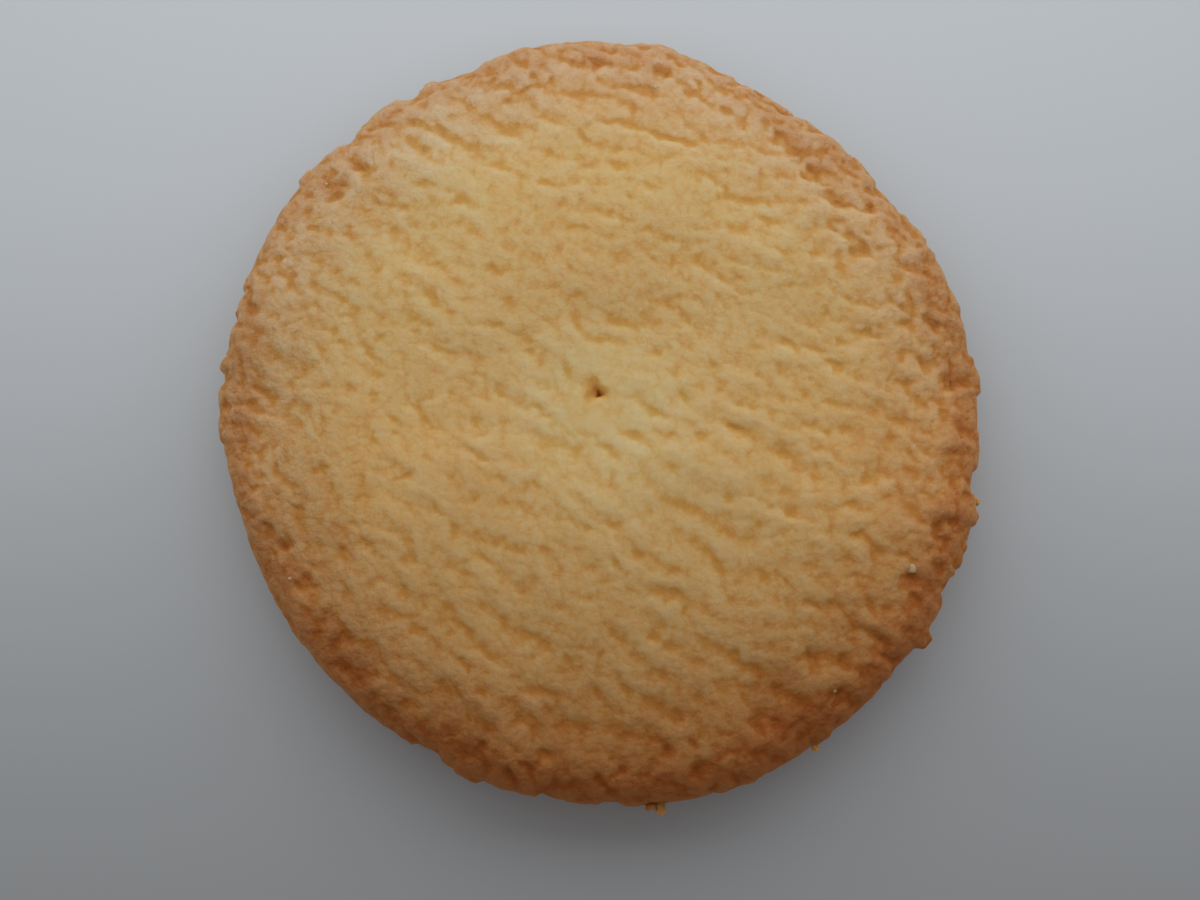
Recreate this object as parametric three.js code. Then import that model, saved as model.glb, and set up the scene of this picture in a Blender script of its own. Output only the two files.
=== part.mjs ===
import * as THREE from 'three';

// A round butter cookie, one solid. Lengths are in millimetres. Angles are in degrees,
// counter-clockwise from +X as seen from above. A share is a part of the outline's radius.

// Outline, at the cookie's widest level.
const meanRadius = 35;
const outlineWaves = [
  { lobes: 2, swell: 0.81, toward: -56 },
  { lobes: 3, swell: 0.06, toward: -51 },
  { lobes: 4, swell: 0.19, toward: -2 },
  { lobes: 5, swell: 0.12, toward: 13 },
  { lobes: 6, swell: 0.08, toward: -25 },
];

// Nubs that stand out of the outline between two angles, and chips out of it where the swell
// is negative. Each ends in a short slope, and grows in from one share to the next.
const nubSlope = 1.3;
const nubInnerShare = 0.93;
const nubOuterShare = 0.985;
const nubHeight = 5.6;
const nubReach = 3.2; // a nub fades out this far above and below its height
const rimNubs = [
  { from: 2.5, to: 7.5, swell: 0.6 },
  { from: 27.5, to: 32.5, swell: 0.4 },
  { from: 40, to: 45, swell: 0.5 },
  { from: 49, to: 56, swell: -0.2 },
  { from: 82, to: 95, swell: 0.15 },
  { from: 97.5, to: 107.5, swell: -0.3 },
  { from: 117, to: 118, swell: 0.5 },
  { from: 120, to: 122.5, swell: -0.45 },
  { from: 125.5, to: 129.5, swell: 0.3 },
  { from: 132, to: 136, swell: -0.3 },
  { from: 141, to: 142.5, swell: 0.6 },
  { from: 162, to: 164.5, swell: -0.5 },
  { from: 166, to: 171, swell: -0.25 },
  { from: 173, to: 174, swell: 0.5 },
  { from: 177, to: 185, swell: 0.35 },
  { from: 188, to: 200, swell: -0.15 },
  { from: 242, to: 245.5, swell: -0.35 },
  { from: 249, to: 252, swell: 0.4 },
  { from: 261.5, to: 264.5, swell: -0.2 },
  { from: 270.5, to: 272.5, swell: -0.4 },
  { from: 287, to: 292, swell: 0.2 },
  { from: 302.5, to: 304.5, swell: 0.3 },
  { from: 315.5, to: 321.5, swell: -0.2 },
  { from: 323, to: 324.5, swell: 0.8 },
  { from: 331, to: 333.5, swell: -0.3 },
  { from: 336, to: 338.5, swell: 0.4 },
  { from: 342.5, to: 343.5, swell: 0.4 },
  { from: 347, to: 350, swell: -0.45 },
];

// Section through the cookie, from the middle of the top to the flat underside: a low dome,
// then a rounded shoulder, the widest level, a leaning wall and a rounded foot.
const centreHeight = 11;
const domePower = 3.2;
const shoulderShare = 0.92;
const shoulderHeight = 8.6;
const widestHeight = 4.4;
const edgeStations = [
  { share: shoulderShare, height: shoulderHeight },
  { share: 0.955, height: 7.9 },
  { share: 0.982, height: 6.9 },
  { share: 0.997, height: 5.6 },
  { share: 1, height: widestHeight },
  { share: 0.995, height: 2 },
  { share: 0.98, height: 0.5 },
  { share: 0.955, height: 0 },
];

// Vent hole pressed into the top, a little off the middle.
const ventX = -0.3;
const ventY = 0.5;
const ventDepth = 1.6;
const ventRadius = 0.55;
const ventCorners = 3;
const ventPinch = 0.25;
const calmReach = 2.75; // the relief reaches its full height this far from the vent hole

// Torn hollows along the edge of the top: a slot that runs round the cookie at one share of
// the radius, between two angles.
const hollowSlope = 2;
const hollowSpread = 1.5; // a hollow's sides run out at so many half widths
const rimHollows = [
  { from: 86, to: 94, share: 0.9, halfWidth: 0.8, depth: 0.35 },
  { from: 70, to: 80, share: 0.88, halfWidth: 0.8, depth: 0.3 },
  { from: 38, to: 58, share: 0.86, halfWidth: 1.1, depth: 0.55 },
  { from: 28, to: 33, share: 0.83, halfWidth: 1, depth: 0.35 },
  { from: 13, to: 19, share: 0.87, halfWidth: 1, depth: 0.35 },
  { from: 3, to: 8, share: 0.88, halfWidth: 1.1, depth: 0.4 },
  { from: -24, to: -19, share: 0.915, halfWidth: 1, depth: 0.4 },
  { from: -41, to: -33, share: 0.9, halfWidth: 1, depth: 0.45 },
  { from: -53, to: -46, share: 0.86, halfWidth: 1, depth: 0.4 },
  { from: -77, to: -71, share: 0.92, halfWidth: 0.9, depth: 0.4 },
  { from: -84, to: -78, share: 0.89, halfWidth: 0.8, depth: 0.3 },
  { from: -102, to: -96, share: 0.93, halfWidth: 0.9, depth: 0.4 },
  { from: 100, to: 108, share: 0.84, halfWidth: 0.8, depth: 0.3 },
  { from: 155, to: 167, share: 0.9, halfWidth: 0.8, depth: 0.3 },
  { from: 203, to: 213, share: 0.895, halfWidth: 0.8, depth: 0.3 },
];

// Uneven relief: broad swells, and lumps drawn out along the way the dough was cut.
const swellLength = 12;
const swellHeight = 0.3;
const swellShift = [7.3, 2.9]; // which stretch of the noise the swells take
const lumpLength = 6.5;
const lumpWidth = 3.4;
const lumpHeight = 0.25;
const grainAngle = -28;
const grainTurn = 0.5; // degrees for each millimetre toward +Y
const bendLength = 5;
const bendShift = 0.6; // how far the lumps are bent sideways, in lump widths
const wallRelief = 0.2;
const wallLump = 4;
const wallMiddle = 0.6; // the wall's relief is highest this far along the edge
const wallReach = 0.4;
const topFade = 0.5; // the top's relief runs out this far along the edge

// Mesh: each ring on the top has six points more than the one inside it.
const topRings = 30;
const ventRings = [0.3, 0.7, 1.4];
const rimRows = 11;

const radians = THREE.MathUtils.degToRad;
const mix = THREE.MathUtils.lerp;
const smooth = THREE.MathUtils.smoothstep;

// A fixed number from 0 to 1 for each lattice point.
function latticeValue(i, j) {
  const spread = Math.sin(i * 127.1 + j * 311.7) * 43758.5453;
  return spread - Math.floor(spread);
}

// Smooth noise from -1 to 1, one cell to each unit.
function noise(x, y) {
  const i = Math.floor(x);
  const j = Math.floor(y);
  const s = smooth(x - i, 0, 1);
  const t = smooth(y - j, 0, 1);
  const near = mix(latticeValue(i, j), latticeValue(i + 1, j), s);
  const far = mix(latticeValue(i, j + 1), latticeValue(i + 1, j + 1), s);
  return 2 * mix(near, far, t) - 1;
}

// The smallest signed turn from one angle to another, in degrees.
function turnBetween(from, to) {
  return THREE.MathUtils.euclideanModulo(to - from + 180, 360) - 180;
}

// A rounded bump, 1 at the middle and 0 from halfWidth outward.
function bump(distance, halfWidth) {
  const share = Math.min(1, Math.abs(distance) / halfWidth);
  return (1 + Math.cos(Math.PI * share)) / 2;
}

// 1 between two angles, falling to 0 within a slope outside them.
function plateau(angle, from, to, slope) {
  const outside = Math.abs(turnBetween((from + to) / 2, angle)) - (to - from) / 2;
  return 1 - smooth(outside, 0, slope);
}

// Radius of the outline: a circle, a few waves round it, and a part of the nubs and chips.
function outlineRadius(angle, nubPart) {
  let radius = meanRadius;
  for (const wave of outlineWaves) {
    radius += wave.swell * Math.cos(radians(wave.lobes * (angle - wave.toward)));
  }
  for (const nub of rimNubs) {
    radius += nubPart * nub.swell * plateau(angle, nub.from, nub.to, nubSlope);
  }
  return radius;
}

// How deep the torn hollows are at a place on the top.
function hollowDepth(angle, share) {
  let depth = 0;
  for (const hollow of rimHollows) {
    const along = plateau(angle, hollow.from, hollow.to, hollowSlope);
    const away = (share - hollow.share) * meanRadius;
    const across = bump(away, hollow.halfWidth * hollowSpread);
    depth += hollow.depth * along * across;
  }
  return depth;
}

// Depth of the vent hole: a cone with three rounded corners and a steep foot.
function ventDepthAt(angle, distance) {
  const radius = ventRadius * (1 + ventPinch * Math.cos(radians(ventCorners * angle)));
  const share = distance / radius;
  return ventDepth * Math.exp(-share * share);
}

// Relief of the top: broad swells, and lumps in the turned frame of the dough's grain.
function relief(x, y) {
  const grain = radians(grainAngle + grainTurn * y);
  const along = x * Math.cos(grain) + y * Math.sin(grain);
  const across = y * Math.cos(grain) - x * Math.sin(grain);
  const swell = noise(x / swellLength + swellShift[0], y / swellLength + swellShift[1]);
  const bend = bendShift * noise(x / bendLength, y / bendLength);
  const lump = noise(along / lumpLength, across / lumpWidth + bend);
  return swellHeight * swell + lumpHeight * lump;
}

// A point of the top or the wall. Shares shift from the vent hole to the outline's middle.
function pointAt(angle, share, height) {
  const nubPart = smooth(share, nubInnerShare, nubOuterShare) * bump(height - nubHeight, nubReach);
  const reach = outlineRadius(angle, nubPart) * share;
  const shift = Math.max(0, 1 - share);
  const x = reach * Math.cos(radians(angle)) + ventX * shift;
  const y = reach * Math.sin(radians(angle)) + ventY * shift;
  return new THREE.Vector3(x, y, height);
}

function topPoint(angle, share) {
  const point = pointAt(angle, share, widestHeight);
  const fall = (centreHeight - shoulderHeight) * (share / shoulderShare) ** domePower;
  const calm = smooth(share * meanRadius, ventRadius, calmReach);
  point.z = centreHeight - fall + calm * relief(point.x, point.y);
  point.z -= hollowDepth(angle, share) + ventDepthAt(angle, share * meanRadius);
  return point;
}

// The edge of the section, as a smooth curve through its stations.
const edgeCurve = new THREE.SplineCurve(
  edgeStations.map((station) => new THREE.Vector2(station.share, station.height)),
);

// A point of the edge, row 0 at the top's last ring and rimRows at the underside.
function edgePoint(angle, row) {
  const along = row / rimRows;
  const place = edgeCurve.getPoint(along);
  const top = topPoint(angle, shoulderShare);
  const fade = 1 - smooth(along, 0, topFade);
  const point = pointAt(angle, place.x, place.y);
  const lump = noise((point.x + point.z) / wallLump, (point.y - point.z) / wallLump);
  const rough = bump(along - wallMiddle, wallReach) * wallRelief * lump;
  point.x += rough * Math.cos(radians(angle));
  point.y += rough * Math.sin(radians(angle));
  point.z += fade * (top.z - shoulderHeight);
  return point;
}

// Shares of the top's rings: close together in the vent hole, then evenly out to the shoulder.
function ringShares() {
  const shares = ventRings.map((radius) => radius / meanRadius);
  const last = shares[shares.length - 1];
  const rest = topRings - shares.length;
  for (let ring = 1; ring <= rest; ring += 1) {
    shares.push(mix(last, shoulderShare, ring / rest));
  }
  return shares;
}

// Triangles between two rings, where the outer one has six points more.
function joinGrowingRings(triangles, innerStart, innerCount, outerStart, outerCount) {
  const perSide = outerCount / 6;
  for (let side = 0; side < 6; side += 1) {
    for (let step = 0; step < perSide; step += 1) {
      const outer = side * perSide + step;
      const inner = side * (perSide - 1) + step;
      const outerNext = outerStart + ((outer + 1) % outerCount);
      const innerHere = innerStart + (inner % innerCount);
      triangles.push(outerStart + outer, outerNext, innerHere);
      if (step < perSide - 1) {
        triangles.push(innerHere, outerNext, innerStart + ((inner + 1) % innerCount));
      }
    }
  }
}

// Triangles between two rings with as many points each.
function joinEqualRings(triangles, upperStart, lowerStart, count) {
  for (let step = 0; step < count; step += 1) {
    const next = (step + 1) % count;
    triangles.push(upperStart + step, lowerStart + step, upperStart + next);
    triangles.push(upperStart + next, lowerStart + step, lowerStart + next);
  }
}

function cookieGeometry() {
  const points = [topPoint(0, 0)];
  const triangles = [];
  let ringStart = 0;
  let ringCount = 1;
  ringShares().forEach((share, ring) => {
    const start = points.length;
    const count = 6 * (ring + 1);
    for (let step = 0; step < count; step += 1) {
      points.push(topPoint((360 * step) / count, share));
    }
    joinGrowingRings(triangles, ringStart, ringCount, start, count);
    ringStart = start;
    ringCount = count;
  });
  for (let row = 1; row <= rimRows; row += 1) {
    const start = points.length;
    for (let step = 0; step < ringCount; step += 1) {
      points.push(edgePoint((360 * step) / ringCount, row));
    }
    joinEqualRings(triangles, ringStart, start, ringCount);
    ringStart = start;
  }
  const middle = points.length;
  points.push(new THREE.Vector3(0, 0, 0));
  for (let step = 0; step < ringCount; step += 1) {
    triangles.push(middle, ringStart + ((step + 1) % ringCount), ringStart + step);
  }
  const geometry = new THREE.BufferGeometry().setFromPoints(points);
  geometry.setIndex(triangles);
  return geometry;
}

// Stands the solid on z = 0 with the middle of its box over the origin.
function standOnOrigin(geometry) {
  geometry.computeBoundingBox();
  const middle = geometry.boundingBox.getCenter(new THREE.Vector3());
  geometry.translate(-middle.x, -middle.y, -geometry.boundingBox.min.z);
  geometry.computeVertexNormals();
  return geometry;
}

const bakedDough = new THREE.MeshStandardMaterial({
  color: new THREE.Color(0.72, 0.55, 0.33),
  roughness: 0.85,
  metalness: 0,
});

const cookie = new THREE.Mesh(standOnOrigin(cookieGeometry()), bakedDough);
cookie.name = 'cookie';

const part = new THREE.Group();
part.add(cookie);

export default part;
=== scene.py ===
import math

import bpy
import numpy as np
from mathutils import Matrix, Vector


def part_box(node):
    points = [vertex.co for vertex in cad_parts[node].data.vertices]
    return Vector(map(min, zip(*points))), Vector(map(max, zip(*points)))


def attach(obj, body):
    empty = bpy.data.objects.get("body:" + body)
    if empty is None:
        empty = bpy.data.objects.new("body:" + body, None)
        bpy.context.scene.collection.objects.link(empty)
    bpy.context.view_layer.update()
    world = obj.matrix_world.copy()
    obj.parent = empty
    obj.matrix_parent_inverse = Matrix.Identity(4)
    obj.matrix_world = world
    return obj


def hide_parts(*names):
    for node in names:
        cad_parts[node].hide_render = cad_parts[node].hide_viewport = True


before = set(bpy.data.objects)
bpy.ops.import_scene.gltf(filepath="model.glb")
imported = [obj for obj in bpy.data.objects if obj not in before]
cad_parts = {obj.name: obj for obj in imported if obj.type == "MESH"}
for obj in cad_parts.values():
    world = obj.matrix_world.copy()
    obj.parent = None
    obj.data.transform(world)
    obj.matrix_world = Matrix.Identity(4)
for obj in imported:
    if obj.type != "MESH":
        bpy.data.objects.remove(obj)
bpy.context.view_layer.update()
cookieLow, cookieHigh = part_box("cookie")
print("frame loaded: cookie box", [round(v * 1000, 2) for v in (*cookieLow, *cookieHigh)])

# Lengths are millimetres, except where a comment says metres, and angles are degrees,
# counter-clockwise from +X. A share is a part of the outline's radius.


def smoothStep(low, high, x):
    # 0 below low and 1 above high, with a cubic in between: 3t^2 - 2t^3
    t = np.clip((x - low) / (high - low), 0.0, 1.0)
    return t * t * (3 - 2 * t)


def turnBetween(start, end):
    # the smallest signed turn from one angle to another
    return (end - start + 180.0) % 360.0 - 180.0


def plateau(angle, start, end, slope):
    # 1 between two angles, falling to 0 within a slope outside them
    outside = np.abs(turnBetween((start + end) / 2, angle)) - (end - start) / 2
    return 1 - smoothStep(0, slope, outside)


def bump(distance, halfWidth):
    # a raised cosine: 1 in the middle, 0 from halfWidth outward
    return (1 + np.cos(np.pi * np.minimum(1, np.abs(distance) / halfWidth))) / 2


def scramble(cell, seed):
    # a fixed whole number for each lattice point: its three indices are multiplied by large
    # odd numbers, added and mixed by shifts
    mixed = cell[:, 0] * 374761393 + cell[:, 1] * 668265263 + cell[:, 2] * 1440662683
    mixed = (mixed + seed * 1274126177) & 0xFFFFFFFF
    mixed = ((mixed ^ (mixed >> 13)) * 1274126177) & 0xFFFFFFFF
    mixed = ((mixed ^ (mixed >> 15)) * 2246822519) & 0xFFFFFFFF
    return mixed ^ (mixed >> 16)


def scatterOf(cell, seed):
    # three numbers from 0 to 1 for each lattice point, each from ten bits of its whole number
    mixed = scramble(cell, seed)
    return np.stack([(mixed >> shift & 1023) / 1023.0 for shift in (0, 10, 20)], axis=1)


def noise(points, size, seed):
    # gradient noise: slopes given at the lattice corners are blended by the quintic
    # 6t^5 - 15t^4 + 10t^3; size is one cell's length along each axis
    scaled = points / size
    cell = np.floor(scaled).astype(np.int64)
    inside = scaled - cell
    fade = inside ** 3 * (inside * (inside * 6 - 15) + 10)
    total = np.zeros(len(points))
    for corner in np.ndindex(2, 2, 2):
        corner = np.array(corner)
        slopes = scatterOf(cell + corner, seed) * 2 - 1
        reach = np.sum(slopes * (inside - corner), axis=1)
        total += reach * np.prod(np.where(corner == 1, fade, 1 - fade), axis=1)
    return total * 1.5  # so that it runs from about -1 to 1


outline = {
    "meanRadius": 35.0,
    "waves": [  # lobes round the rim, swell, direction of one lobe
        (2, 0.81, -56), (3, 0.06, -51), (4, 0.19, -2), (5, 0.12, 13), (6, 0.08, -25),
    ],
    "nubSlope": 0.9,
    "nubs": [  # from, to, swell; a chip has a negative swell
        (2.5, 7.5, 0.6), (27.5, 32.5, 0.4), (40, 45, 0.5), (49, 56, -0.2), (82, 95, 0.15),
        (97.5, 107.5, -0.3), (117, 118, 0.5), (120, 122.5, -0.45), (125.5, 129.5, 0.3),
        (132, 136, -0.3), (141, 142.5, 0.6), (162, 164.5, -0.5), (166, 171, -0.25),
        (173, 174, 0.5), (177, 185, 0.35), (188, 200, -0.15), (242, 245.5, -0.35),
        (249, 252, 0.4), (261.5, 264.5, -0.2), (270.5, 272.5, -0.4), (287, 292, 0.2),
        (302.5, 304.5, 0.3), (315.5, 321.5, -0.2), (323, 324.5, 0.8), (331, 333.5, -0.3),
        (336, 338.5, 0.4), (342.5, 343.5, 0.4), (347, 350, -0.45),
    ],
    "nubShares": (0.93, 0.985),  # a nub grows in between these shares
    "nubHeight": 5.6,
    "nubReach": 3.2,  # and fades out this far above and below its height
}


def outlineRadius(angle, nubPart):
    # a circle, a few waves round it, and a part of the nubs and chips
    radius = np.full(angle.shape, outline["meanRadius"])
    for lobes, swell, toward in outline["waves"]:
        radius += swell * np.cos(np.radians(lobes * (angle - toward)))
    for start, end, swell in outline["nubs"]:
        radius += nubPart * swell * plateau(angle, start, end, outline["nubSlope"])
    return radius


section = {
    "centreHeight": 11.0,
    "domePower": 3.2,
    "edge": [  # share and height: shoulder, its round, widest level, leaning wall, foot
        (0.92, 8.6), (0.955, 7.9), (0.982, 6.9), (0.997, 5.6), (1.0, 4.4), (0.995, 2.0),
        (0.98, 0.5), (0.955, 0.0),
    ],
}

mesh = {
    "topHalf": 128,  # steps from the middle of the top to the shoulder
    "edgeRows": 26,
    "edgeCrowd": 1.2,  # above 1, the rows lie closer at the shoulder than at the foot
    "underRings": 5,
    "ventCrowd": 0.5,  # how much closer the steps lie in the vent hole
    "ventReach": 0.06,  # as a part of the way to the shoulder
    "underMark": 2.0,  # stands for the underside, where a place on the edge is 0 to 1
}


def splineAt(stations, t):
    # Catmull-Rom curve through the stations, t from 0 to 1
    knots = np.array(stations)
    knots = np.vstack([2 * knots[0] - knots[1], knots, 2 * knots[-1] - knots[-2]])
    place = np.clip(t, 0, 1) * (len(stations) - 1)
    index = np.minimum(place.astype(int), len(stations) - 2)
    w = (place - index)[:, None]
    a, b, c, d = (knots[index + k] for k in range(4))
    return 0.5 * (2 * b + (c - a) * w + (2 * a - 5 * b + 4 * c - d) * w ** 2
                  + (3 * b - a - 3 * c + d) * w ** 3)


def squareToDisc(half):
    # a square grid bent into rings: reach is the larger of |s| and |t|, and the angle is the
    # smaller one over the larger, an eighth of a turn to each side
    steps = np.linspace(-1, 1, 2 * half + 1)
    s, t = (v.ravel() for v in np.meshgrid(steps, steps))
    reach = np.maximum(np.abs(s), np.abs(t))
    sideways = np.abs(s) >= np.abs(t)
    longer = np.where(sideways, s, t)
    shorter = np.where(sideways, t, s)
    turn = 45 * shorter / np.where(longer == 0, 1, longer)
    angle = np.where(sideways, turn, 90 - turn) + np.where(longer < 0, 180, 0)
    return reach, angle % 360


def rimLoop(half):
    # grid indices of the square's edge, counter-clockwise from the corner at 225 degrees
    side = 2 * half + 1
    grid = np.arange(side * side).reshape(side, side)
    return np.concatenate([grid[0, :-1], grid[:-1, -1], grid[-1, :0:-1], grid[:0:-1, 0]])


def surfacePaths():
    # every vertex as an angle and a place on the section: the top's grid, then one row after
    # another down the edge, then rings inward on the underside
    half = mesh["topHalf"]
    reach, angle = squareToDisc(half)
    crowd = mesh["ventCrowd"] * np.exp(-(reach / mesh["ventReach"]) ** 2)
    topShare = section["edge"][0][0] * reach * (1 - crowd)
    fall = section["centreHeight"] - section["edge"][0][1]
    topHeight = section["centreHeight"] - fall * reach ** section["domePower"]
    topSlope = -fall * section["domePower"] * reach ** (section["domePower"] - 1)
    topSlope /= outline["meanRadius"]
    loopAngle = angle[rimLoop(half)]
    count = len(loopAngle)
    rows = (np.arange(1, mesh["edgeRows"] + 1) / mesh["edgeRows"]) ** mesh["edgeCrowd"]
    edge = splineAt(section["edge"], rows)
    ahead = splineAt(section["edge"], rows + 1e-3) - splineAt(section["edge"], rows - 1e-3)
    ahead[:, 0] *= outline["meanRadius"]
    footShare = section["edge"][-1][0]
    inward = footShare * (1 - np.arange(1, mesh["underRings"] + 1) / (mesh["underRings"] + 1))
    under = len(inward) * count + 1
    share = np.concatenate([topShare, np.repeat(edge[:, 0], count), np.repeat(inward, count), [0]])
    height = np.concatenate([topHeight, np.repeat(edge[:, 1], count), np.zeros(under)])
    angles = np.concatenate([angle, np.tile(loopAngle, len(rows) + len(inward)), [0]])
    along = np.concatenate([
        np.zeros(len(reach)), np.repeat(rows, count), np.full(under, mesh["underMark"]),
    ])
    # the section's outward normal, as (outward, up)
    normal = np.concatenate([
        np.stack([-topSlope, np.ones(len(reach))], axis=1),
        np.repeat(np.stack([-ahead[:, 1], ahead[:, 0]], axis=1), count, axis=0),
        np.tile([[0.0, -1.0]], (under, 1)),
    ])
    normal /= np.linalg.norm(normal, axis=1, keepdims=True)
    return angles, share, height, along, normal


def surfaceFaces():
    # quads of the grid, quads between each pair of loops, and triangles to the last point
    half = mesh["topHalf"]
    side = 2 * half + 1
    grid = np.arange(side * side).reshape(side, side)
    corners = [grid[:-1, :-1], grid[:-1, 1:], grid[1:, 1:], grid[1:, :-1]]
    quads = [np.stack(corners, axis=-1).reshape(-1, 4)]
    upper = rimLoop(half)
    count = len(upper)
    start = side * side
    for _ in range(mesh["edgeRows"] + mesh["underRings"]):
        lower = start + np.arange(count)
        quads.append(np.stack([upper, lower, np.roll(lower, -1), np.roll(upper, -1)], axis=1))
        upper = lower
        start += count
    fan = np.stack([upper, np.full(count, start), np.roll(upper, -1)], axis=1)
    return np.concatenate(quads), fan


def averaged(values, quads, fan, rounds):
    # in each round, every value moves halfway to the mean of its neighbours along the edges
    ends = np.concatenate([
        *(quads[:, [k, (k + 1) % 4]] for k in range(4)),
        *(fan[:, [k, (k + 1) % 3]] for k in range(3)),
    ])
    count = len(values)
    links = np.bincount(ends.ravel(), minlength=count)
    for _ in range(rounds):
        total = np.bincount(ends[:, 0], values[ends[:, 1]], count)
        total += np.bincount(ends[:, 1], values[ends[:, 0]], count)
        values = (values + total / links) / 2
    return values


vent = {
    "x": -0.29,
    "y": 0.47,
    "corners": 3,
    "pinch": 0.3,
    "turn": 105.0,  # direction of one corner
    "funnel": (-0.08, 0.05, 0.8, 0.34),  # x and y from there, radius, depth
    "hole": (0.2, -0.16, 0.27, 1.1),
    "ventShadeAndGlow": (-0.16, 0.1, 0.78, 0.5),  # x, y, radius, and how much browner it is there: painted shade and a painted amber glow of light through the dough
    "ventShadeDarkness": 10.0,  # how much darker it is where this is full, as painted shade
    "shade": 7.0,  # and for each millimetre of depth, as painted shade
    "calmReach": 5.5,  # the torn lumps are lower within this distance of the hole
    "calmShare": 0.45,
}


def ventBell(angle, distance, x, y, radius, amount):
    # amount * exp(-(d / r)^2) round a spot, where r swells toward three rounded corners
    across = distance * np.cos(np.radians(angle)) - x
    ahead = distance * np.sin(np.radians(angle)) - y
    corner = np.cos(vent["corners"] * (np.arctan2(ahead, across) - math.radians(vent["turn"])))
    reach = radius * (1 + vent["pinch"] * corner)
    return amount * np.exp(-(across ** 2 + ahead ** 2) / reach ** 2)


hollows = {
    "bend": (1.3, 0.65),  # length and shift of the noise that tears their edges
    "bendSeeds": (61, 62),
    "fade": (0.5, 0.9),  # they fade out between these places on the edge
    "farPitBrownAndShade": 0.35,  # how much browner and darker they are per millimetre of depth where the painted sheen is: partly browning, partly painted shade
    "pits": [  # direction, share, turn from the rim's line, half length, half width, depth
        (90, 0.9, 0, 1.3, 0.62, 0.31), (79.5, 0.89, 50, 0.9, 0.5, 0.25),
        (73, 0.87, 0, 1.3, 0.62, 0.25), (66.5, 0.86, 0, 0.9, 0.56, 0.22),
        (60, 0.89, 0, 0.6, 0.5, 0.22), (54, 0.88, -10, 1.8, 0.88, 0.46),
        (47.5, 0.855, -15, 1.7, 0.88, 0.5), (42, 0.84, 5, 1.7, 0.94, 0.53),
        (37.5, 0.88, 30, 1.1, 0.62, 0.25), (30.5, 0.805, 21, 2, 0.69, 0.31),
        (28.5, 0.905, 0, 1.3, 0.75, 0.25), (16.5, 0.855, 20, 1.1, 0.62, 0.31),
        (13.5, 0.89, 40, 1, 0.62, 0.28), (6.5, 0.845, 40, 1.3, 0.62, 0.31),
        (4.5, 0.92, -20, 1.3, 0.69, 0.37), (-3.5, 0.915, 60, 1.2, 0.62, 0.31),
        (-12.5, 0.895, 50, 1.3, 0.62, 0.28), (-21.5, 0.915, 80, 1.2, 0.75, 0.37),
        (-26, 0.93, 80, 1, 0.62, 0.31), (-33, 0.915, 80, 1, 0.62, 0.31),
        (-38, 0.84, 90, 1.4, 0.56, 0.25), (-41, 0.91, 90, 1.3, 0.62, 0.43),
        (-47, 0.87, 30, 0.8, 0.62, 0.37), (-51, 0.935, 60, 0.9, 0.75, 0.37),
        (-52, 0.82, 80, 1.2, 0.69, 0.31), (-64, 0.87, 40, 1.1, 0.62, 0.31),
        (-74.5, 0.925, 20, 1.3, 0.62, 0.4), (-81, 0.89, 30, 1.8, 0.56, 0.28),
        (-88, 0.92, 30, 1.1, 0.62, 0.22), (-98, 0.975, 20, 1.4, 0.62, 0.43),
        (-99.5, 0.895, 40, 1.2, 0.62, 0.37), (-107.5, 0.915, 0, 0.9, 0.6, 0.22),
        (-121.5, 0.905, 0, 0.9, 0.62, 0.28), (-134, 0.94, 0, 0.8, 0.56, 0.25),
        (-137, 0.91, 0, 0.6, 0.56, 0.31), (-148, 0.895, 60, 1, 0.62, 0.31),
        (-155, 0.895, 60, 1, 0.62, 0.28), (-171.5, 0.895, 80, 1.1, 0.62, 0.28),
        (178.5, 0.86, 60, 1.2, 0.56, 0.28), (165, 0.91, 90, 1, 0.56, 0.28),
        (158, 0.875, 90, 1.5, 0.56, 0.28), (142, 0.875, -50, 1, 0.62, 0.31),
        (135, 0.865, -40, 1.1, 0.56, 0.25), (125, 0.83, 80, 1.2, 0.62, 0.25),
        (104, 0.84, 0, 1.9, 0.56, 0.28),
    ],
}


def pitShape(away, turn, halfLength, halfWidth, curl, steep):
    # 1 in the middle, falling as exp(-(along/halfLength)^4 - (across/halfWidth)^2); it curls
    # sideways with along^2, and its upper side is steeper than its lower one
    along = away[:, 0] * np.cos(turn) + away[:, 1] * np.sin(turn)
    across = away[:, 1] * np.cos(turn) - away[:, 0] * np.sin(turn)
    across = across + curl * along ** 2 / halfLength
    halfWidth = halfWidth * np.where(across > 0, 1 - steep, 1 + steep)
    return np.exp(-(along / halfLength) ** 4 - (across / halfWidth) ** 2)


def hollowDepth(base):
    # the large pits of the rim, each at its own place
    length, shift = hollows["bend"]
    bends = np.stack([noise(base, length, seed) for seed in hollows["bendSeeds"]], axis=1)
    torn = base[:, :2] + shift * bends
    depth = np.zeros(len(base))
    for angle, share, turn, halfLength, halfWidth, deep in hollows["pits"]:
        heading = math.radians(angle - 90 + turn)
        reach = share * float(outlineRadius(np.array([float(angle)]), 0)[0])
        middle = np.array([math.cos(math.radians(angle)), math.sin(math.radians(angle))]) * reach
        shape = pitShape(torn - middle, heading, halfLength, halfWidth, 0.0, 0.0)
        depth = np.maximum(depth, deep * shape)
    return depth


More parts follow.
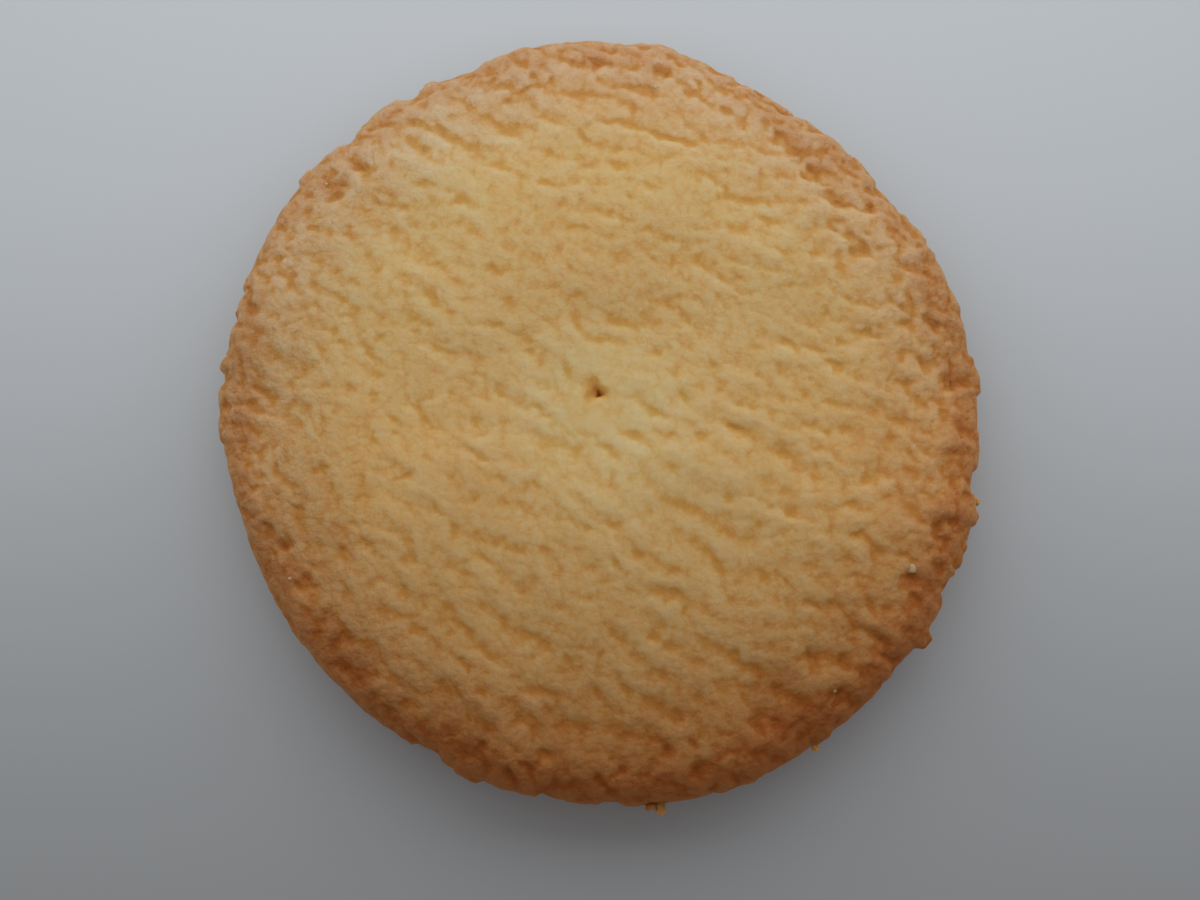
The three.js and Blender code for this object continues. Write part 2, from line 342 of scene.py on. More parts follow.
relief = {
    "swellLength": 9.0,
    "swellHeight": 0.3,
    "grainAngle": -28.0,  # direction in which the torn lumps run, in the middle
    "grainTurn": (0.6, 0.45),  # and its turn for each millimetre of x and of y
    "bends": [(4.5, 0.7), (1.2, 0.22)],  # length and shift
    # length along the grain, distance from crest to crest across it, height
    "ripples": (1.6, 3.2, 0.053),
    "ripplePush": 0.06,  # how far a crest leans outward, as a part of the distance
    "rippleLimit": 1.5,  # crests above this many heights lean no further
    "rippleCalm": 60.0,  # the square of the radius within which crests lean much less
    "rippleSwing": 0.9,  # a ripple's crest, in heights
    "puffs": (0.9, 0.7, 0.04),  # radius along the grain, across it, height
    "puffStep": 1.1,  # spacing of puffs and ripples, as a part of their mean radius
    "puffSwing": 2.4,  # from the lowest puff to the highest, in heights
    "pebbles": [(1.7, 1.35, 0.11), (0.9, 1.25, 0.095)],  # size, stretch along the grain, height
    "pebbleLevel": 0.2,  # a pebble's top, in heights
    "waves": (4.0, 2.4, 0.14),  # broad puffs: radius along the grain, across it, height
    "softRounds": 1,  # rounds of averaging that round off the smallest edges
    "puffSkew": 3.6,  # how much deeper the creases are than the puffs are high, per millimetre
    # spacing, half lengths, half widths and depths, each as its smallest and largest
    "pits": (1.8, (0.5, 1.6), (0.3, 0.42), (-0.04, 0.055)),
    "rimPits": (2.3, (0.5, 1.4), (0.35, 0.55), (-0.05, 0.14)),
    "rimPitShares": (0.8, 0.9),  # the rim's own pits begin in between these shares
    "pitSway": 24.0,  # how far a pit's direction strays from the grain
    "pitCurl": 0.3,
    "pitSteep": 0.3,
    "rimGain": 0.6,  # how much higher the relief is at the rim
    "gainShares": (0.6, 0.92),
    # directions in which it is rougher, by how much, and the power of the share it grows with
    "sideGains": [(-48.0, 0.5, 1.2), (70.0, 0.8, 6)],
    "topFade": (0.2, 0.65),  # the top's relief fades out between these places on the edge
    "wallLumps": [  # size, step between lumps, crown of a lump
        (2.8, 0.12, 0.05), (1.4, 0.14, 0.11), (0.8, 0.1, 0.11),
    ],
    "crownLevel": 0.4,  # the top of a lump, in crowns
    "crownSwing": 2.0,  # how fast it falls from there
    "wallShares": (0.84, 0.96),  # the wall's lumps begin in between these shares
    "wallFade": (0.8, 1.0),  # and fade out between these places on the edge
    "wallCalm": (0.45, 4.6, 2.8),  # how much lower they are, at which height and how far round it
    "wallUnderTop": 0.4,  # and how much lower where the top's relief is full
    "blendSharpness": 8.0,  # how abruptly one lump gives way to the next
    # rounds of averaging that tell a hollow from a crest, and the depth that counts as one
    "cavities": [(24, 0.06), (5, 0.03)],
    "cavityLimits": (-3.0, 12.0),  # of the sum of those and the vent's shade
    "underSwell": (7.0, 0.08, 0.064),  # length, mean height and swing of the uneven underside
    "underRise": 0.1,  # share within which it rises from the foot
    "seeds": {  # each picks another pattern of the same kind
        "swell": 5, "under": 7, "bends": 11, "ripples": 31, "puffs": 41, "pebbles": 61,
        "waves": 77, "wallLumps": 131, "pits": 231, "rimPits": 251,
    },
    "bendSeedStep": 4,  # from one row of bends to the next
    "seedStep": 9,  # from one row of pebbles or lumps to the next
}


def lumps(points, size, stretch, along, reach, seed):
    # soft-edged lumps round spots scattered one to a cell: each has its own level from -0.5 to
    # 0.5, blended with weights exp(-sharpness d^2), and a crown log(sum of the weights) /
    # sharpness, about -d^2; d is shorter along the grain and longer across it
    scaled = points / size
    cell = np.floor(scaled).astype(np.int64)
    level = np.zeros(len(points))
    weights = np.zeros(len(points))
    for step in np.ndindex(*(2 * r + 1 for r in reach)):
        neighbour = cell + np.array(step) - np.array(reach)
        away = neighbour + scatterOf(neighbour, seed) - scaled
        if reach[2] == 0:
            away[:, 2] = 0
        ahead = np.sum(away * along, axis=1)
        squared = np.sum(away ** 2, axis=1) * stretch - ahead ** 2 * (stretch - 1 / stretch)
        weight = np.exp(-relief["blendSharpness"] * squared)
        level += weight * ((scramble(neighbour, seed + 1) & 1023) / 1023.0 - 0.5)
        weights += weight
    return level / weights, np.log(weights + 1e-9) / relief["blendSharpness"]


def pitDepth(bent, turn, spacing, halfLengths, halfWidths, depths, seed):
    # scattered pits, one to a cell, each with a length, width, depth, direction and curl of
    # its own
    def between(limits, part):
        return limits[0] + (limits[1] - limits[0]) * part

    flat = bent * (1, 1, 0)
    cell = np.floor(flat / spacing).astype(np.int64)
    depth = np.zeros(len(bent))
    for step in np.ndindex(3, 3):
        neighbour = cell + np.array([step[0] - 1, step[1] - 1, 0])
        spot = scatterOf(neighbour, seed)
        kind = scatterOf(neighbour, seed + 1)
        away = flat[:, :2] - (neighbour + spot)[:, :2] * spacing
        lean = kind[:, 2] * 2 - 1
        heading = turn + math.radians(relief["pitSway"]) * lean
        halfLength = between(halfLengths, spot[:, 2] ** 2)
        halfWidth = between(halfWidths, kind[:, 0])
        curl = relief["pitCurl"] * lean
        shape = pitShape(away, heading, halfLength, halfWidth, curl, relief["pitSteep"])
        depth += np.maximum(0, between(depths, kind[:, 1])) * shape
    return depth


def bentPoints(base):
    # the pattern's coordinates are shifted by noise, so that the lumps aren't laid out in rows
    bent = base
    seed = relief["seeds"]["bends"]
    for length, shift in relief["bends"]:
        moves = [shift * noise(bent, length, seed + axis) for axis in range(3)]
        bent = bent + np.stack(moves, axis=1)
        seed += relief["bendSeedStep"]
    return bent


def puffs(points, turn, length, width, seed, wave=None):
    # soft spots of random height, drawn out along the grain, added up: exp(-(along/length)^2
    # - (across/width)^2), times cos(2 pi across / wave + phase) if a wave is given
    spacing = relief["puffStep"] * math.sqrt(length * width)
    flat = points * (1, 1, 0)
    cell = np.floor(flat / spacing).astype(np.int64)
    total = np.zeros(len(points))
    for step in np.ndindex(5, 5):
        neighbour = cell + np.array([step[0] - 2, step[1] - 2, 0])
        spot = scatterOf(neighbour, seed)
        away = flat[:, :2] - (neighbour + spot)[:, :2] * spacing
        along = away[:, 0] * np.cos(turn) + away[:, 1] * np.sin(turn)
        across = away[:, 1] * np.cos(turn) - away[:, 0] * np.sin(turn)
        shape = np.exp(-(along / length) ** 2 - (across / width) ** 2)
        if wave is None:
            total += (spot[:, 2] - 0.5) * relief["puffSwing"] * shape
        else:
            phase = np.cos(2 * np.pi * (across / wave + spot[:, 2]))
            total += phase * relief["rippleSwing"] * shape
    return total


def ripples(points, turn, length, wave, seed):
    # short ripples across the grain whose crests lean outward, steeper on that side: the
    # pattern is read a little further inward where it is high
    squared = np.sum(points[:, :2] ** 2, axis=1)
    outward = points[:, :2] / np.sqrt(squared + relief["rippleCalm"])[:, None]
    first = puffs(points, turn, length, wave / 2, seed, wave)
    limit = relief["rippleLimit"]
    lean = relief["ripplePush"] * wave * np.clip(first, -limit, limit)
    moved = points.copy()
    moved[:, :2] -= outward * lean[:, None]
    return puffs(moved, turn, length, wave / 2, seed, wave)


def tornTop(bent, rim):
    # ripples, puffs and pebbles drawn out along a grain that turns with x and y, their creases
    # deepened by (1 - exp(-skew h)) / skew, then pits along the grain and broad waves
    seeds = relief["seeds"]
    turn = np.radians(relief["grainAngle"] + bent[:, :2] @ np.array(relief["grainTurn"]))
    length, wave, high = relief["ripples"]
    total = high * ripples(bent, turn, length, wave, seeds["ripples"])
    length, width, high = relief["puffs"]
    total += high * puffs(bent, turn, length, width, seeds["puffs"])
    grain = math.radians(relief["grainAngle"])
    grain = np.array([math.cos(grain), math.sin(grain), 0.0])
    for index, (size, stretch, high) in enumerate(relief["pebbles"]):
        seed = seeds["pebbles"] + relief["seedStep"] * index
        dome = lumps(bent, size, stretch, grain, (1, 1, 0), seed)[1]
        total += high * (dome + relief["pebbleLevel"])
    skew = relief["puffSkew"]
    total = (1 - np.exp(-skew * total)) / skew
    total -= pitDepth(bent, turn, *relief["pits"], seeds["pits"])
    total -= rim * pitDepth(bent, turn, *relief["rimPits"], seeds["rimPits"])
    length, width, high = relief["waves"]
    return total + high * puffs(bent, turn, length, width, seeds["waves"])


def crackedWall(bent):
    # rounder lumps for the shoulder and the wall
    total = np.zeros(len(bent))
    for index, (size, step, crown) in enumerate(relief["wallLumps"]):
        seed = relief["seeds"]["wallLumps"] + relief["seedStep"] * index
        level, dome = lumps(bent, size, 1.0, np.zeros(3), (1, 1, 1), seed)
        total += step * level + crown * (relief["crownLevel"] + dome * relief["crownSwing"])
    return total


browning = {
    "rings": [(0.0, 0.3, 0.27), (0.6, 0.85, 0.22), (0.85, 0.96, 0.25)],  # share from, to, amount
    # the near side, toward -80 degrees, is browner: partly uneven baking, partly painted shade
    "brownAndShadeSide": -80.0,
    "brownAndShadeRings": [(0.25, 0.45, 0.10), (0.5, 0.65, 0.10), (0.7, 0.9, 0.13)],
    # patches of paler and of browner dough; the paler one at (-16, 22) is painted sheen
    "patches": [  # x, y, radius, amount
        (0, 9, 8, 0.12), (2, -4, 8, -0.15), (-16, 22, 7, -0.09), (2, 26, 5, 0.05),
        (9, -9, 5, -0.05),
    ],
    "noises": [(9.0, 0.05), (4.0, 0.03), (1.6, 0.03)],  # size, shift of the share
    "seed": 91,  # of the first noise; each of the others has the next one
    # painted shade: the far half and one side of the rim are tinted darker
    "paintedShadeRows": (-6.0, 10.0),  # y at which the painted shade of the far half begins and is full
    "paintedShadeAmount": 0.8,
    "paintedShadeSide": 180.0,  # this side of the rim gets painted shade too
    "paintedShadeShares": (0.55, 0.9),
    "paintedShadeSideAmount": 0.5,
    "paintedSheenSide": 100.0,  # on this side the rim gets a painted bluish sheen
    "paintedSheenShares": (0.6, 0.97),
}


def crustOf(angle, share, along, base):
    # how browned each place is: 0 at the palest middle, 1 at the rim and down the wall; one
    # side of the cookie is browner and darker than the other, partly uneven baking, partly painted
    # shade
    edge = np.where(along > 0, np.maximum(share, section["edge"][0][0]), share)
    for index, (size, shift) in enumerate(browning["noises"]):
        edge = edge + shift * noise(base, size, browning["seed"] + index)
    toward = (1 + np.cos(np.radians(angle - browning["brownAndShadeSide"]))) / 2
    level = np.zeros(len(base))
    for start, end, amount in browning["rings"]:
        level += amount * smoothStep(start, end, edge)
    for start, end, amount in browning["brownAndShadeRings"]:
        level += amount * toward ** 2 * smoothStep(start, end, edge)
    for x, y, radius, amount in browning["patches"]:
        level += amount * np.exp(-np.sum((base[:, :2] - (x, y)) ** 2, axis=1) / radius ** 2)
    return level


def shadeAndSheenOf(angle, share, base):
    # how much painted shade the far half and one side get, and how much painted sheen the far rim
    # gets, each 0 to 1
    dull = browning["paintedShadeAmount"] * smoothStep(*browning["paintedShadeRows"], base[:, 1])
    side = np.maximum(0, np.cos(np.radians(angle - browning["paintedShadeSide"])))
    dull += browning["paintedShadeSideAmount"] * side * smoothStep(*browning["paintedShadeShares"], share)
    toward = (1 + np.cos(np.radians(angle - browning["paintedSheenSide"]))) / 2
    return np.minimum(dull, 1), toward * smoothStep(*browning["paintedSheenShares"], share)


def buildCookie():
    # each point of the smooth form is moved along its outward normal by the torn top, the
    # cracked wall and a broad swell, less the hollows and the vent; a point is "hollow" by how
    # far it lies below the mean height round it, which the paint turns into painted shade
    angle, share, height, along, normal = surfacePaths()
    above = along < mesh["underMark"]
    nubPart = smoothStep(*outline["nubShares"], share)
    nubPart *= bump(height - outline["nubHeight"], outline["nubReach"])
    radius = outlineRadius(angle, nubPart) * share
    toward = np.maximum(0, 1 - share) * above
    turn = np.radians(angle)
    x = radius * np.cos(turn) + vent["x"] * toward
    y = radius * np.sin(turn) + vent["y"] * toward
    base = np.stack([x, y, height], axis=1)
    bent = bentPoints(base)

    distance = share * outline["meanRadius"]
    calm = vent["calmShare"] + (1 - vent["calmShare"]) * smoothStep(0, vent["calmReach"], distance)
    gain = 1 + relief["rimGain"] * smoothStep(*relief["gainShares"], share)
    for side, more, power in relief["sideGains"]:
        gain += more * share ** power * np.maximum(0, np.cos(np.radians(angle - side)))
    topPart = 1 - smoothStep(*relief["topFade"], along)
    wallPart = smoothStep(*relief["wallShares"], share) * above
    wallPart *= 1 - smoothStep(*relief["wallFade"], along)
    calmness, calmHeight, calmReach = relief["wallCalm"]
    wallPart *= 1 - calmness * bump(height - calmHeight, calmReach)
    lift = topPart * calm * gain * tornTop(bent, smoothStep(*relief["rimPitShares"], share))
    lift += wallPart * (1 - relief["wallUnderTop"] * topPart) * crackedWall(bent)
    swell = noise(base, relief["swellLength"], relief["seeds"]["swell"])
    lift += topPart * relief["swellHeight"] * swell
    torn = hollowDepth(base) * (1 - smoothStep(*hollows["fade"], along))
    lift -= torn

    quads, fan = surfaceFaces()
    lift = averaged(lift, quads, fan, relief["softRounds"])
    # a shallow funnel, a deep pit in it, and painted shade and amber glow round both
    funnel, hole, ventShadeAndGlow = (
        ventBell(angle, distance, *vent[key]) * (along == 0) for key in ("funnel", "hole", "ventShadeAndGlow")
    )
    # the hollow value: the vent's painted shade, and how far below the mean height round it each
    # point lies
    cavity = vent["shade"] * (funnel + hole) + vent["ventShadeDarkness"] * ventShadeAndGlow
    for rounds, depth in relief["cavities"]:
        cavity += (averaged(lift, quads, fan, rounds) - lift) / depth
    lift -= funnel + hole

    outward = np.stack([np.cos(turn), np.sin(turn)], axis=1)
    place = base.copy()
    place[:, :2] += outward * (normal[:, 0] * lift)[:, None]
    place[:, 2] += normal[:, 1] * lift
    length, mean, swing = relief["underSwell"]
    under = smoothStep(0, relief["underRise"], section["edge"][-1][0] - share)
    under *= mean + swing * noise(base, length, relief["seeds"]["under"])
    raised = np.where(along > 1, under, 0.0)
    place[:, 2] = np.where(along < 1, np.maximum(place[:, 2], 0.0), raised)

    print("cookie:", len(place), "points,", 2 * len(quads) + len(fan), "triangles")
    # painted shade for the far half and one side, painted sheen for the far rim
    dull, ashen = shadeAndSheenOf(angle, share, base)
    # browner where the vent's painted shade and glow lies, and in the rim's pits where the painted
    # sheen lies
    crust = crustOf(angle, share, along, base) + ventShadeAndGlow + hollows["farPitBrownAndShade"] * torn * ashen
    return place, quads, fan, {
        "crust": crust,
        "dull": dull,
        "ashen": ashen,
        "hollow": np.clip(cavity, *relief["cavityLimits"]),
    }


def meshFrom(name, place, quads, triangles, attributes, unit):
    # a smooth-shaded mesh from arrays: four corners to each quad, then three to each triangle
    made = bpy.data.meshes.new(name)
    made.vertices.add(len(place))
    made.vertices.foreach_set("co", (place * unit).astype(np.float32).ravel())
    corners = np.concatenate([quads.ravel(), triangles.ravel()]).astype(np.int32)
    made.loops.add(len(corners))
    made.loops.foreach_set("vertex_index", corners)
    starts = np.concatenate([
        np.arange(len(quads)) * 4, len(quads) * 4 + np.arange(len(triangles)) * 3,
    ]).astype(np.int32)
    made.polygons.add(len(starts))
    made.polygons.foreach_set("loop_start", starts)
    made.update(calc_edges=True)
    made.polygons.foreach_set("use_smooth", np.ones(len(starts), bool))
    for key, values in attributes.items():
        layer = made.attributes.new(key, "FLOAT", "POINT")
        layer.data.foreach_set("value", values.astype(np.float32))
    made.validate()
    piece = bpy.data.objects.new(name, made)
    bpy.context.scene.collection.objects.link(piece)
    return piece


class Term:
    # a shader socket on which +, - and * with terms or numbers add Math nodes
    def __init__(self, paint, socket):
        self.paint = paint
        self.socket = socket

    def math(self, operation, first, second):
        return self.paint.node("Math", {"operation": operation}, {0: first, 1: second})

    def __add__(self, other):
        return self.math("ADD", self, other)

    def __radd__(self, other):
        return self.math("ADD", other, self)

    def __sub__(self, other):
        return self.math("SUBTRACT", self, other)

    def __rsub__(self, other):
        return self.math("SUBTRACT", other, self)

    def __mul__(self, other):
        return self.math("MULTIPLY", self, other)

    def __rmul__(self, other):
        return self.math("MULTIPLY", other, self)


class Paint:
    # a material while its nodes are being added
    def __init__(self, name):
        self.material = bpy.data.materials.new(name)
        self.material.use_nodes = True
        self.tree = self.material.node_tree
        self.tree.nodes.clear()

    def node(self, kind, settings=None, inputs=None, output=0):
        # a new node of this kind: its settings first, then a link or a value for each socket
        made = self.tree.nodes.new("ShaderNode" + kind)
        for key, value in (settings or {}).items():
            if key == "stops":
                self.setStops(made.color_ramp, value)
            else:
                setattr(made, key, value)
        for key, value in (inputs or {}).items():
            if isinstance(value, Term):
                self.tree.links.new(value.socket, made.inputs[key])
            else:
                made.inputs[key].default_value = value
        return Term(self, made.outputs[output])

    def setStops(self, ramp, stops):
        while len(ramp.elements) < len(stops):
            ramp.elements.new(0.5)
        for element, (position, colour) in zip(ramp.elements, stops):
            element.position = position
            element.color = (*colour, 1.0)

    def cloud(self, where, scale, roughness):
        # noise from about -0.5 to 0.5
        inputs = {"Vector": where, "Scale": scale, "Detail": 2.0, "Roughness": roughness}
        return self.node("TexNoise", {"noise_dimensions": "3D"}, inputs) - 0.5

    def clamp(self, value):
        return self.node("Clamp", {}, {0: value})

    def blend(self, first, second, share, how="MIX"):
        # two colours mixed; a Mix node's colours are its sockets 6 and 7, and its output 2
        settings = {"data_type": "RGBA", "blend_type": how, "clamp_result": False}
        first, second = (v if isinstance(v, Term) else (*v, 1.0) for v in (first, second))
        return self.node("Mix", settings, {0: share, 6: first, 7: second}, 2)

    def finish(self, inputs):
        # the surface shader with these sockets, joined to the output
        surface = self.node("BsdfPrincipled", {}, inputs)
        out = self.tree.nodes.new("ShaderNodeOutputMaterial")
        self.tree.links.new(surface.socket, out.inputs["Surface"])
        return self.material


dough = {
    "stops": [  # browning from 0 to 1, linear colour
        (0.0, (0.7, 0.5, 0.224)),
        (0.25, (0.685, 0.442, 0.177)),
        (0.4, (0.665, 0.396, 0.145)),
        (0.55, (0.635, 0.348, 0.118)),
        (0.7, (0.585, 0.283, 0.084)),
        (0.85, (0.51, 0.207, 0.053)),
        (1.0, (0.42, 0.136, 0.029)),
    ],
    # scale, and how much they change the browning and the depth
    "patches": (900.0, 0.25, 2.0),
    "grains": (3000.0, 0.14, 2.4),
    "cells": (1500.0, 0.4, 1.5),  # scale, the level of no change, and the change of the depth
    "cloudRoughness": 0.6,
    # painted shade: darker and less red on the far half and one side
    "paintedShadeTint": (0.832, 0.866, 0.885),
    # painted sheen: lighter and bluer on the far rim
    "paintedSheenTint": (1.04, 1.12, 1.62),
    "paintedSheenInPits": 0.3,  # how much less of the painted sheen there is in a pit
    # painted shade in pits, where the dough is also a little browner; painted light on crests;
    # darker painted shade in the deepest hollows
    "pitShadeTint": (0.94, 0.75, 0.44),
    "pitShadeGain": 0.4,  # how fast the tint comes in with depth
    "crestLightTint": (1.0, 1.095, 1.3),
    "crestLightGain": 0.5,  # and with height
    "deepShadeTint": (0.85, 0.6, 0.4),
    "deepShadeFrom": 4.0,  # the depth at which it begins
    "deepShadeGain": 0.12,
    "bumpScale": 2000.0,
    "bumpCells": 0.6,  # how much of the fine relief is cells, rounder than the noise
    "bumpEverywhere": 0.33,
    "bumpMore": (1.33, 0.48, 0.82),  # with browning, the painted shade and the painted sheen
    "bumpHeight": 0.00012,  # metres
    "roughness": 0.82,
    "roughnessSwing": 0.2,
    "scatter": 0.3,
    "scatterRadius": (0.003, 0.0015, 0.0008),  # metres, for red, green and blue
    "specular": 0.22,
}


def doughPaint(name, scatter):
    # browning picks the colour; painted shade, a painted sheen and painted light on crests are
    # multiplied in one by one
    paint = Paint(name)
    crust, hollow, dull, ashen = (
        paint.node("Attribute", {"attribute_name": key}, output="Fac")
        for key in ("crust", "hollow", "dull", "ashen")
    )
    where = paint.node("TexCoord", output="Object")
    patchScale, patchBrown, patchDepth = dough["patches"]
    grainScale, grainBrown, grainDepth = dough["grains"]
    cellScale, cellLevel, cellDepth = dough["cells"]
    grains = paint.cloud(where, grainScale, dough["cloudRoughness"])
    patches = paint.cloud(where, patchScale, dough["cloudRoughness"])
    cells = paint.node("TexVoronoi", {"feature": "F1"}, {"Vector": where, "Scale": cellScale})

    depth = hollow + grains * grainDepth + patches * patchDepth + (cells - cellLevel) * cellDepth
    # by depth: painted shade in pits, painted light on crests and darker painted shade in the
    # deepest hollows
    pit = paint.clamp(depth * dough["pitShadeGain"])
    crest = paint.clamp(depth * -dough["crestLightGain"])
    deep = paint.clamp((hollow - dough["deepShadeFrom"]) * dough["deepShadeGain"])
    level = crust + patches * patchBrown + grains * grainBrown
    colour = paint.node("ValToRGB", {"stops": dough["stops"]}, {0: level})
    # painted shade on the far half and one side, a painted sheen on the far rim, then painted
    # shade and light by depth
    for tint, share in (
        ("paintedShadeTint", dull), ("paintedSheenTint", ashen * (1.0 - pit * dough["paintedSheenInPits"])),
        ("pitShadeTint", pit), ("crestLightTint", crest), ("deepShadeTint", deep),
    ):
        colour = paint.blend(colour, dough[tint], share, "MULTIPLY")

    withCrust, withPaintedShade, withPaintedSheen = dough["bumpMore"]
    strength = dough["bumpEverywhere"] + crust * withCrust + dull * withPaintedShade + ashen * withPaintedSheen
    height = paint.cloud(where, dough["bumpScale"], dough["cloudRoughness"])
    height = (height - cells * cells * dough["bumpCells"]) * strength
    bumpInputs = {"Strength": 1.0, "Distance": dough["bumpHeight"], "Height": height}
    return paint.finish({
        "Base Color": colour,
        "Roughness": dough["roughness"] + grains * dough["roughnessSwing"],
        "Normal": paint.node("Bump", {}, bumpInputs),
        "Subsurface Weight": 1.0,
        "Subsurface Radius": dough["scatterRadius"],
        "Subsurface Scale": scatter,
        "Specular IOR Level": dough["specular"],
    })


place, quads, fan, attributes = buildCookie()
unit = (cookieHigh.x - cookieLow.x) / (place[:, 0].max() - place[:, 0].min())
boxMiddle = (place.max(axis=0) + place.min(axis=0)) / 2
frameMiddle = (cookieLow + cookieHigh) / 2
place[:, 0] += frameMiddle.x / unit - boxMiddle[0]
place[:, 1] += frameMiddle.y / unit - boxMiddle[1]
cookie = meshFrom("cookieDough", place, quads, fan, attributes, unit)
cookie.data.materials.append(doughPaint("bakedDough", dough["scatter"]))
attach(cookie, "root")
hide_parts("cookie")
print("cookie made; one millimetre is", round(unit, 6))

crumbs = {
    "seed": 11,
    "spots": [  # x, y, height, radius and browning of each crumb that clings to the rim
        (5.2, -35.8, 4.8, 0.55, 0.6), (4.4, -35.5, 5.2, 0.4, 0.8),
        (34.2, -8.7, 4.8, 0.36, 0.5), (18.9, -29.9, 4.8, 0.3, 0.6),
    ],
    "steps": (20, 14),  # round a crumb and from its top to its bottom
    "stretch": (1.25, 1.0, 0.85),
    "rough": 0.35,  # height of its lumps, as a part of its radius
    "lumpSize": 0.8,
    "noiseStep": 7.0,
    "power": 2.0,  # 2 is round, more is boxier
    "reach": (0.7, 0.0),  # how far its middle stands outward and up, in radiuses
    "scatter": 0.12,  # light sinks less far into a crumb than into the cookie
}

sugar = {
    "seed": 12,
    "spots": [  # x, y, height, radius; the crystals aren't browned
        (27.1, -15.1, 9.0, 0.34, 0), (17.6, 22.4, 9.0, 0.17, 0), (5.2, 29.6, 9.0, 0.15, 0),
        (-25.2, 20.2, 9.0, 0.14, 0), (20.4, -26.0, 8.5, 0.15, 0), (-27.0, -16.0, 9.0, 0.14, 0),
    ],
    "steps": (16, 10),
    "stretch": (1.2, 0.9, 0.8),
    "rough": 0.2,
    "lumpSize": 1.2,
    "noiseStep": 7.0,
    "power": 6.0,
    "reach": (0.0, -0.3),
    "colour": (0.62, 0.41, 0.22),
    "darkest": 0.85,  # its darkest parts, as a part of the colour
    "cloudScale": 5000.0,
    "cloudRoughness": 0.5,
    "roughness": 0.6,
    "roughnessSwing": 0.3,
    "scatterShare": 0.5,  # of the light that isn't mirrored
    "scatterRadius": (0.0003, 0.0002, 0.0001),  # metres
    "specular": 0.2,
}


def ball(around, rows):
    # a unit ball: rings of points between two poles
    tilt = np.pi * np.arange(1, rows) / rows
    turn = 2 * np.pi * np.arange(around) / around
    ring = np.stack([
        np.outer(np.sin(tilt), np.cos(turn)), np.outer(np.sin(tilt), np.sin(turn)),
        np.outer(np.cos(tilt), np.ones(around)),
    ], axis=-1).reshape(-1, 3)
    grid = np.arange(len(ring)).reshape(rows - 1, around)
    ahead = np.roll(grid, -1, axis=1)
    quads = np.stack([grid[:-1], grid[1:], ahead[1:], ahead[:-1]], axis=-1).reshape(-1, 4)
    upper = np.stack([np.full(around, len(ring)), grid[0], ahead[0]], axis=1)
    lower = np.stack([np.full(around, len(ring) + 1), ahead[-1], grid[-1]], axis=1)
    return np.vstack([ring, [[0, 0, 1], [0, 0, -1]]]), quads, np.concatenate([upper, lower])


def buildGrains(name, kind, surface, material):
    # one mesh of small bodies, each at the surface point nearest to its spot: a ball made boxy
    # by dividing by its own norm, stretched, turned by a random angle and roughened by noise
    unitBall, quads, caps = ball(*kind["steps"])
    power = kind["power"]
    norm = np.sum(np.abs(unitBall) ** power, axis=1, keepdims=True) ** (1 / power)
    unitBall = unitBall / norm
    random = np.random.default_rng(kind["seed"])
    outward, upward = kind["reach"]
    bodies = []
    crusts = []
    for x, y, height, radius, crust in kind["spots"]:
        nearest = surface[np.argmin(np.sum((surface - (x, y, height)) ** 2, axis=1))]
        side = np.array([x, y, 0.0]) / math.hypot(x, y)
        axes = np.linalg.qr(random.normal(size=(3, 3)))[0]
        axes *= np.sign(np.linalg.det(axes))
        # each body is roughened by another part of the same noise
        uneven = noise(unitBall + kind["noiseStep"] * len(bodies), kind["lumpSize"], kind["seed"])
        lumpy = unitBall * (1 + kind["rough"] * uneven)[:, None]
        body = (lumpy * kind["stretch"]) @ axes * radius
        bodies.append(body + nearest + side * outward * radius + (0, 0, upward * radius))
        crusts.append(np.full(len(body), float(crust)))
    shifts = (np.arange(len(bodies)) * len(unitBall))[:, None, None]
    place = np.concatenate(bodies)
    quads = (quads + shifts).reshape(-1, 4)
    caps = (caps + shifts).reshape(-1, 3)
    attributes = {"crust": np.concatenate(crusts), "hollow": np.zeros(len(place))}
    made = meshFrom(name, place, quads, caps, attributes, unit)
    made.data.materials.append(material)
    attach(made, "root")


def sugarPaint():
    # one noise makes a grain paler and rougher in places
    paint = Paint("sugarCrystal")
    where = paint.node("TexCoord", output="Object")
    cloud = paint.cloud(where, sugar["cloudScale"], sugar["cloudRoughness"])
    dark = [v * sugar["darkest"] for v in sugar["colour"]]
    return paint.finish({
        "Base Color": paint.blend(dark, sugar["colour"], paint.clamp(0.5 + cloud)),
        "Roughness": sugar["roughness"] + cloud * sugar["roughnessSwing"],
        "Subsurface Weight": sugar["scatterShare"],
        "Subsurface Radius": sugar["scatterRadius"],
        "Subsurface Scale": 1.0,
        "Specular IOR Level": sugar["specular"],
    })


buildGrains("looseCrumbs", crumbs, place, doughPaint("crumbDough", crumbs["scatter"]))
buildGrains("sugarGrains", sugar, place, sugarPaint())

studio = {
    "floorColour": (0.474, 0.48, 0.489),
    "floorRoughness": 0.6,
    "floorSize": 4.0,  # metres, as the key light's size and places are
    "worldColour": (0.985, 0.99, 0.992),
    "worldStrength": 0.2765,
    "keySize": (0.26, 0.16),
    "keyAt": (0.0, 0.075, 0.057),
    "keyAim": (0.0, 0.075, 0.0),
    "keyPower": 0.14,
    "keyColour": (0.9, 0.955, 1.0),
}


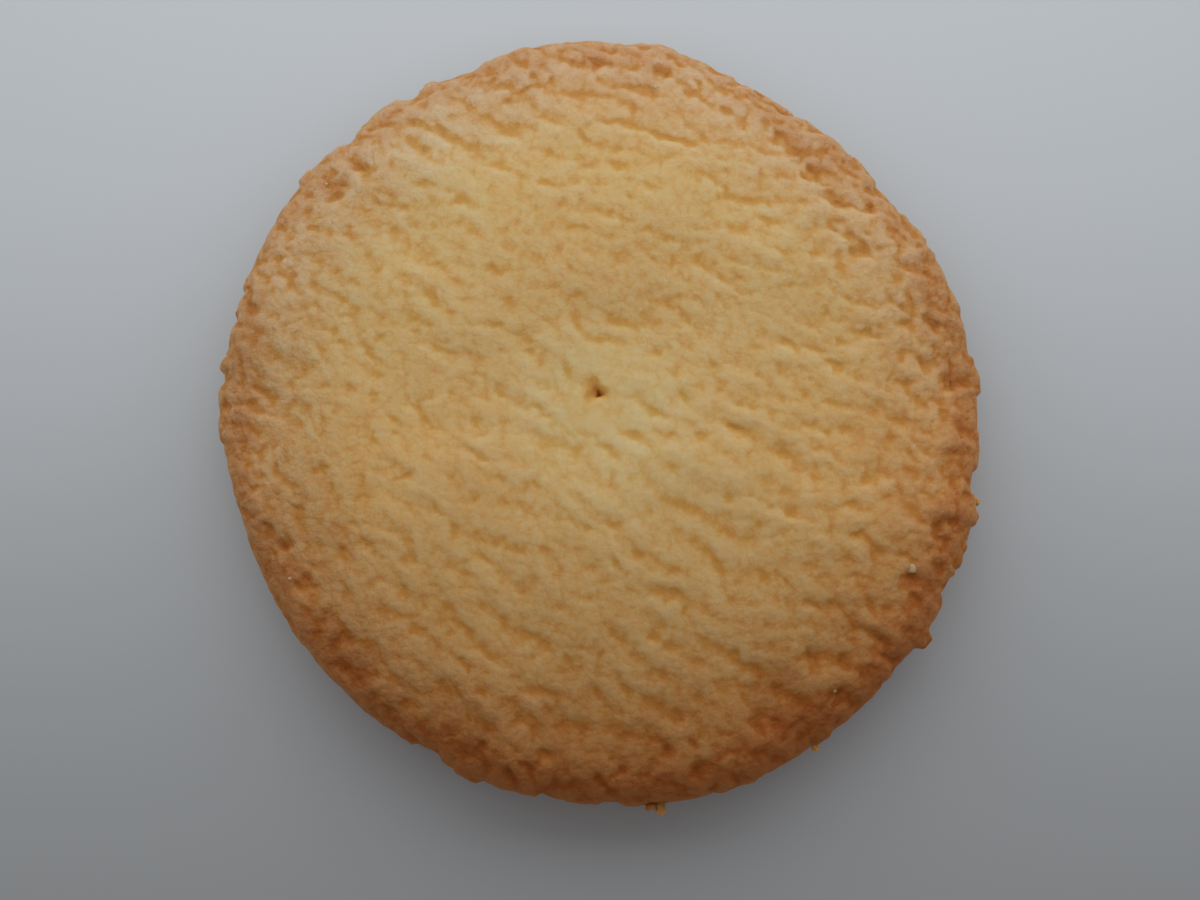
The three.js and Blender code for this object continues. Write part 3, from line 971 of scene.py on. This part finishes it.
def buildStudio():
    # a pale floor, an even world and one soft lamp above and behind
    half = studio["floorSize"] / 2
    corners = [(-half, -half, 0), (half, -half, 0), (half, half, 0), (-half, half, 0)]
    floorMesh = bpy.data.meshes.new("floor")
    floorMesh.from_pydata(corners, [], [(0, 1, 2, 3)])
    floor = bpy.data.objects.new("floor", floorMesh)
    bpy.context.scene.collection.objects.link(floor)
    floor.location.z = cookieLow.z
    floorMesh.materials.append(Paint("paleFloor").finish({
        "Base Color": (*studio["floorColour"], 1.0),
        "Roughness": studio["floorRoughness"],
    }))
    world = bpy.data.worlds.new("studioWorld")
    world.use_nodes = True
    background = world.node_tree.nodes["Background"]
    background.inputs["Color"].default_value = (*studio["worldColour"], 1.0)
    background.inputs["Strength"].default_value = studio["worldStrength"]
    bpy.context.scene.world = world
    lamp = bpy.data.lights.new("softKey", "AREA")
    lamp.shape = "RECTANGLE"
    lamp.size, lamp.size_y = studio["keySize"]
    lamp.energy = studio["keyPower"]
    lamp.color = studio["keyColour"]
    key = bpy.data.objects.new("softKey", lamp)
    key.location = studio["keyAt"]
    toward = Vector(studio["keyAim"]) - Vector(studio["keyAt"])
    key.rotation_euler = toward.to_track_quat("-Z", "Y").to_euler()
    key.visible_camera = False
    bpy.context.scene.collection.objects.link(key)
    bpy.context.scene.view_settings.view_transform = "Standard"


viewpoint = {
    "lens": 35.0,
    "tilt": 9.0,  # from straight down, toward -Y
    "distance": 107.3,
    "aim": (0.03, -4.03, 5.0),
    "nearClip": 0.001,  # metres
}


def buildCamera():
    # the camera stands back from its aim along a line tilted from straight up
    data = bpy.data.cameras.new("camera")
    data.lens = viewpoint["lens"]
    data.clip_start = viewpoint["nearClip"]
    camera = bpy.data.objects.new("camera", data)
    tilt = math.radians(viewpoint["tilt"])
    back = Vector((0, -math.sin(tilt), math.cos(tilt)))
    camera.location = (Vector(viewpoint["aim"]) + back * viewpoint["distance"]) * unit
    camera.rotation_euler = (-back).to_track_quat("-Z", "Y").to_euler()
    bpy.context.scene.collection.objects.link(camera)
    bpy.context.scene.camera = camera


buildStudio()
buildCamera()
print("studio and camera made")
